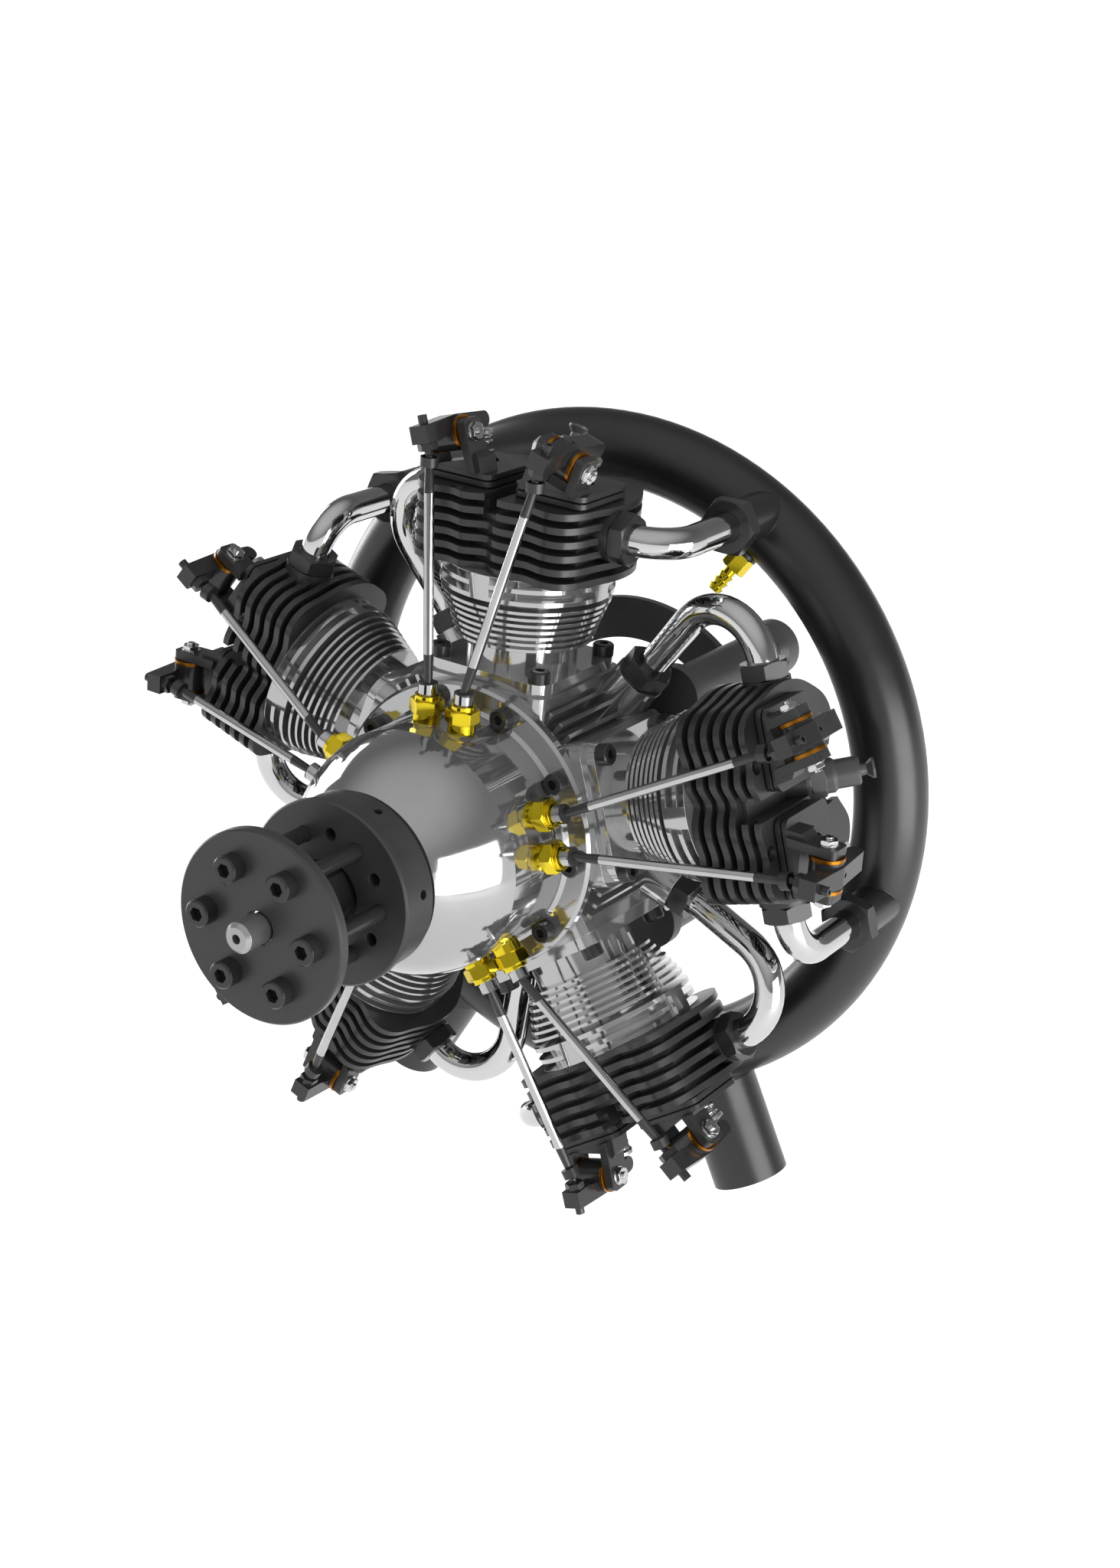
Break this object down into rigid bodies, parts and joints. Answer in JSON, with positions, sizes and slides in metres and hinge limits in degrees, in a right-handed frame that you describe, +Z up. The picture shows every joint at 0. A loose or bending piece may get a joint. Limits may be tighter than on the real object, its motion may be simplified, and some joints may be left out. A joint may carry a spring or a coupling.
{
  "type": "radial aircraft engine",
  "caption": "Air-cooled four-stroke radial engine with exposed pushrods, a rear exhaust collector ring, a propeller hub with clamp washer and a legged rear mount.",
  "frame": {"origin": "on the crankshaft axis, in the plane of the four mounting feet (the firewall face)", "axes": "+Z up along the top cylinder, +Y back along the crankshaft from the propeller to the firewall, +X to the right seen from the front"},
  "size_m": [0.2642, 0.2414, 0.2784],
  "materials": {
    "polished_aluminium": "mirror polished",
    "machined_aluminium": "as machined",
    "black_anodised": "satin black anodised",
    "grey_anodised": "satin dark grey anodised",
    "black_steel": "black oxide",
    "black_coated": "satin black coating",
    "steel": "ground",
    "bright_steel": "bright",
    "cast_iron": "machined",
    "brass": "polished",
    "bronze": "turned bronze"
  },
  "bodies": {
    "engine": {"crankcase": "polished_aluminium", "nose_case": "polished_aluminium", "rear_cover": "machined_aluminium", "rear_mount": "black_coated", "case_screws": "black_steel", "tappet_guides": "brass", "cylinder_barrels": "polished_aluminium", "cylinder_heads": "black_anodised", "barrel_screws": "black_steel", "spark_plugs": "steel", "rocker_stands": "black_anodised", "rocker_pins": "black_steel", "rocker_bushes": "bronze", "valve_springs": "bright_steel", "shaft_bearings": "steel", "pistons": "machined_aluminium", "connecting_rods": "steel", "rod_pins": "steel", "exhaust_ring": "black_coated", "exhaust_pipes": "bright_steel", "intake_pipes": "bright_steel", "pipe_nuts": "black_steel", "pressure_nipple": "brass"},
    "propeller_shaft": {"crankshaft": "steel", "prop_hub": "grey_anodised", "prop_washer": "grey_anodised", "prop_screws": "black_steel", "prop_nut": "black_steel"},
    "cam_ring": {"cam_ring": "steel"},
    "cam_idler": {"cam_idler": "steel"},
    "exhaust_rocker_1": {"exhaust_rocker_1": "black_steel"},
    "exhaust_pushrod_1": {"exhaust_pushrod_1": "bright_steel"},
    "exhaust_valve_1": {"exhaust_valve_1": "steel"},
    "exhaust_rocker_2": {"exhaust_rocker_2": "black_steel"},
    "exhaust_pushrod_2": {"exhaust_pushrod_2": "bright_steel"},
    "exhaust_valve_2": {"exhaust_valve_2": "steel"},
    "exhaust_rocker_3": {"exhaust_rocker_3": "black_steel"},
    "exhaust_pushrod_3": {"exhaust_pushrod_3": "bright_steel"},
    "exhaust_valve_3": {"exhaust_valve_3": "steel"},
    "exhaust_rocker_4": {"exhaust_rocker_4": "black_steel"},
    "exhaust_pushrod_4": {"exhaust_pushrod_4": "bright_steel"},
    "exhaust_valve_4": {"exhaust_valve_4": "steel"},
    "exhaust_rocker_5": {"exhaust_rocker_5": "black_steel"},
    "exhaust_pushrod_5": {"exhaust_pushrod_5": "bright_steel"},
    "exhaust_valve_5": {"exhaust_valve_5": "steel"},
    "intake_rocker_1": {"intake_rocker_1": "black_steel"},
    "intake_pushrod_1": {"intake_pushrod_1": "bright_steel"},
    "intake_valve_1": {"intake_valve_1": "steel"},
    "intake_rocker_2": {"intake_rocker_2": "black_steel"},
    "intake_pushrod_2": {"intake_pushrod_2": "bright_steel"},
    "intake_valve_2": {"intake_valve_2": "steel"},
    "intake_rocker_3": {"intake_rocker_3": "black_steel"},
    "intake_pushrod_3": {"intake_pushrod_3": "bright_steel"},
    "intake_valve_3": {"intake_valve_3": "steel"},
    "intake_rocker_4": {"intake_rocker_4": "black_steel"},
    "intake_pushrod_4": {"intake_pushrod_4": "bright_steel"},
    "intake_valve_4": {"intake_valve_4": "steel"},
    "intake_rocker_5": {"intake_rocker_5": "black_steel"},
    "intake_pushrod_5": {"intake_pushrod_5": "bright_steel"},
    "intake_valve_5": {"intake_valve_5": "steel"}
  },
  "joints": [
    {"name": "propeller_shaft_spin", "type": "hinge", "parent": "engine", "child": "propeller_shaft", "pos_m": [0, -0.15, 0], "axis": [0, 1, 0], "continuous": true},
    {"name": "cam_ring_spin", "type": "hinge", "parent": "engine", "child": "cam_ring", "pos_m": [0, -0.1425, 0], "axis": [0, 1, 0], "continuous": true},
    {"name": "cam_idler_spin", "type": "hinge", "parent": "engine", "child": "cam_idler", "pos_m": [0.01416, -0.1425, 0.01029], "axis": [0, 1, 0], "continuous": true},
    {"name": "exhaust_rocker_1_tilt", "type": "hinge", "parent": "engine", "child": "exhaust_rocker_1", "pos_m": [0.021, -0.1175, 0.1236], "axis": [-0.9563, 0, 0.2924], "range_deg": [0, 10], "deforming": ["valve_springs"]},
    {"name": "exhaust_pushrod_1_slide", "type": "slide", "parent": "engine", "child": "exhaust_pushrod_1", "axis": [0, 0, 1], "range_m": [0, 0.00218], "stiffness_N_per_m": 60, "springref_m": -0.004},
    {"name": "exhaust_valve_1_slide", "type": "slide", "parent": "engine", "child": "exhaust_valve_1", "axis": [-0.2924, 0, -0.9563], "range_m": [0, 0.00255]},
    {"name": "exhaust_rocker_2_tilt", "type": "hinge", "parent": "engine", "child": "exhaust_rocker_2", "pos_m": [0.12404, -0.1175, 0.01822], "axis": [-0.0175, 0, 0.9998], "range_deg": [0, 10], "deforming": ["valve_springs"]},
    {"name": "exhaust_pushrod_2_slide", "type": "slide", "parent": "engine", "child": "exhaust_pushrod_2", "axis": [0.9511, 0, 0.309], "range_m": [0, 0.00218], "stiffness_N_per_m": 60, "springref_m": -0.004},
    {"name": "exhaust_valve_2_slide", "type": "slide", "parent": "engine", "child": "exhaust_valve_2", "axis": [-0.9998, 0, -0.0175], "range_m": [0, 0.00255]},
    {"name": "exhaust_rocker_3_tilt", "type": "hinge", "parent": "engine", "child": "exhaust_rocker_3", "pos_m": [0.05566, -0.1175, -0.11234], "axis": [0.9455, 0, 0.3256], "range_deg": [0, 10], "deforming": ["valve_springs"]},
    {"name": "exhaust_pushrod_3_slide", "type": "slide", "parent": "engine", "child": "exhaust_pushrod_3", "axis": [0.5878, 0, -0.809], "range_m": [0, 0.00218], "stiffness_N_per_m": 60, "springref_m": -0.004},
    {"name": "exhaust_valve_3_slide", "type": "slide", "parent": "engine", "child": "exhaust_valve_3", "axis": [-0.3256, 0, 0.9455], "range_m": [0, 0.00255]},
    {"name": "exhaust_rocker_4_tilt", "type": "hinge", "parent": "engine", "child": "exhaust_rocker_4", "pos_m": [-0.08964, -0.1175, -0.08765], "axis": [0.6018, 0, -0.7986], "range_deg": [0, 10], "deforming": ["valve_springs"]},
    {"name": "exhaust_pushrod_4_slide", "type": "slide", "parent": "engine", "child": "exhaust_pushrod_4", "axis": [-0.5878, 0, -0.809], "range_m": [0, 0.00218], "stiffness_N_per_m": 60, "springref_m": -0.004},
    {"name": "exhaust_valve_4_slide", "type": "slide", "parent": "engine", "child": "exhaust_valve_4", "axis": [0.7986, 0, 0.6018], "range_m": [0, 0.00255]},
    {"name": "exhaust_rocker_5_tilt", "type": "hinge", "parent": "engine", "child": "exhaust_rocker_5", "pos_m": [-0.11106, -0.1175, 0.05817], "axis": [-0.5736, 0, -0.8192], "range_deg": [0, 10], "deforming": ["valve_springs"]},
    {"name": "exhaust_pushrod_5_slide", "type": "slide", "parent": "engine", "child": "exhaust_pushrod_5", "axis": [-0.9511, 0, 0.309], "range_m": [0, 0.00218], "stiffness_N_per_m": 60, "springref_m": -0.004},
    {"name": "exhaust_valve_5_slide", "type": "slide", "parent": "engine", "child": "exhaust_valve_5", "axis": [0.8192, 0, -0.5736], "range_m": [0, 0.00255]},
    {"name": "intake_rocker_1_tilt", "type": "hinge", "parent": "engine", "child": "intake_rocker_1", "pos_m": [-0.021, -0.1175, 0.1236], "axis": [-0.9563, 0, -0.2924], "range_deg": [0, 10], "deforming": ["valve_springs"]},
    {"name": "intake_pushrod_1_slide", "type": "slide", "parent": "engine", "child": "intake_pushrod_1", "axis": [0, 0, 1], "range_m": [0, 0.00218], "stiffness_N_per_m": 60, "springref_m": -0.004},
    {"name": "intake_valve_1_slide", "type": "slide", "parent": "engine", "child": "intake_valve_1", "axis": [0.2924, 0, -0.9563], "range_m": [0, 0.00255]},
    {"name": "intake_rocker_2_tilt", "type": "hinge", "parent": "engine", "child": "intake_rocker_2", "pos_m": [0.11106, -0.1175, 0.05817], "axis": [-0.5736, 0, 0.8192], "range_deg": [0, 10], "deforming": ["valve_springs"]},
    {"name": "intake_pushrod_2_slide", "type": "slide", "parent": "engine", "child": "intake_pushrod_2", "axis": [0.9511, 0, 0.309], "range_m": [0, 0.00218], "stiffness_N_per_m": 60, "springref_m": -0.004},
    {"name": "intake_valve_2_slide", "type": "slide", "parent": "engine", "child": "intake_valve_2", "axis": [-0.8192, 0, -0.5736], "range_m": [0, 0.00255]},
    {"name": "intake_rocker_3_tilt", "type": "hinge", "parent": "engine", "child": "intake_rocker_3", "pos_m": [0.08964, -0.1175, -0.08765], "axis": [0.6018, 0, 0.7986], "range_deg": [0, 10], "deforming": ["valve_springs"]},
    {"name": "intake_pushrod_3_slide", "type": "slide", "parent": "engine", "child": "intake_pushrod_3", "axis": [0.5878, 0, -0.809], "range_m": [0, 0.00218], "stiffness_N_per_m": 60, "springref_m": -0.004},
    {"name": "intake_valve_3_slide", "type": "slide", "parent": "engine", "child": "intake_valve_3", "axis": [-0.7986, 0, 0.6018], "range_m": [0, 0.00255]},
    {"name": "intake_rocker_4_tilt", "type": "hinge", "parent": "engine", "child": "intake_rocker_4", "pos_m": [-0.05566, -0.1175, -0.11234], "axis": [0.9455, 0, -0.3256], "range_deg": [0, 10], "deforming": ["valve_springs"]},
    {"name": "intake_pushrod_4_slide", "type": "slide", "parent": "engine", "child": "intake_pushrod_4", "axis": [-0.5878, 0, -0.809], "range_m": [0, 0.00218], "stiffness_N_per_m": 60, "springref_m": -0.004},
    {"name": "intake_valve_4_slide", "type": "slide", "parent": "engine", "child": "intake_valve_4", "axis": [0.3256, 0, 0.9455], "range_m": [0, 0.00255]},
    {"name": "intake_rocker_5_tilt", "type": "hinge", "parent": "engine", "child": "intake_rocker_5", "pos_m": [-0.12404, -0.1175, 0.01822], "axis": [-0.0175, 0, -0.9998], "range_deg": [0, 10], "deforming": ["valve_springs"]},
    {"name": "intake_pushrod_5_slide", "type": "slide", "parent": "engine", "child": "intake_pushrod_5", "axis": [-0.9511, 0, 0.309], "range_m": [0, 0.00218], "stiffness_N_per_m": 60, "springref_m": -0.004},
    {"name": "intake_valve_5_slide", "type": "slide", "parent": "engine", "child": "intake_valve_5", "axis": [0.9998, 0, -0.0175], "range_m": [0, 0.00255]}
  ],
  "couplings": [
    {"joint": "cam_ring_spin", "follows": "propeller_shaft_spin", "ratio": -0.25},
    {"joint": "cam_idler_spin", "follows": "propeller_shaft_spin", "ratio": -0.66667},
    {"joint": "exhaust_rocker_1_tilt", "follows": "exhaust_pushrod_1_slide", "rad_per_m": 77.821},
    {"joint": "exhaust_valve_1_slide", "follows": "exhaust_pushrod_1_slide", "ratio": 1.144},
    {"joint": "exhaust_rocker_2_tilt", "follows": "exhaust_pushrod_2_slide", "rad_per_m": 77.821},
    {"joint": "exhaust_valve_2_slide", "follows": "exhaust_pushrod_2_slide", "ratio": 1.144},
    {"joint": "exhaust_rocker_3_tilt", "follows": "exhaust_pushrod_3_slide", "rad_per_m": 77.821},
    {"joint": "exhaust_valve_3_slide", "follows": "exhaust_pushrod_3_slide", "ratio": 1.144},
    {"joint": "exhaust_rocker_4_tilt", "follows": "exhaust_pushrod_4_slide", "rad_per_m": 77.821},
    {"joint": "exhaust_valve_4_slide", "follows": "exhaust_pushrod_4_slide", "ratio": 1.144},
    {"joint": "exhaust_rocker_5_tilt", "follows": "exhaust_pushrod_5_slide", "rad_per_m": 77.821},
    {"joint": "exhaust_valve_5_slide", "follows": "exhaust_pushrod_5_slide", "ratio": 1.144},
    {"joint": "intake_rocker_1_tilt", "follows": "intake_pushrod_1_slide", "rad_per_m": 77.821},
    {"joint": "intake_valve_1_slide", "follows": "intake_pushrod_1_slide", "ratio": 1.144},
    {"joint": "intake_rocker_2_tilt", "follows": "intake_pushrod_2_slide", "rad_per_m": 77.821},
    {"joint": "intake_valve_2_slide", "follows": "intake_pushrod_2_slide", "ratio": 1.144},
    {"joint": "intake_rocker_3_tilt", "follows": "intake_pushrod_3_slide", "rad_per_m": 77.821},
    {"joint": "intake_valve_3_slide", "follows": "intake_pushrod_3_slide", "ratio": 1.144},
    {"joint": "intake_rocker_4_tilt", "follows": "intake_pushrod_4_slide", "rad_per_m": 77.821},
    {"joint": "intake_valve_4_slide", "follows": "intake_pushrod_4_slide", "ratio": 1.144},
    {"joint": "intake_rocker_5_tilt", "follows": "intake_pushrod_5_slide", "rad_per_m": 77.821},
    {"joint": "intake_valve_5_slide", "follows": "intake_pushrod_5_slide", "ratio": 1.144}
  ]
}
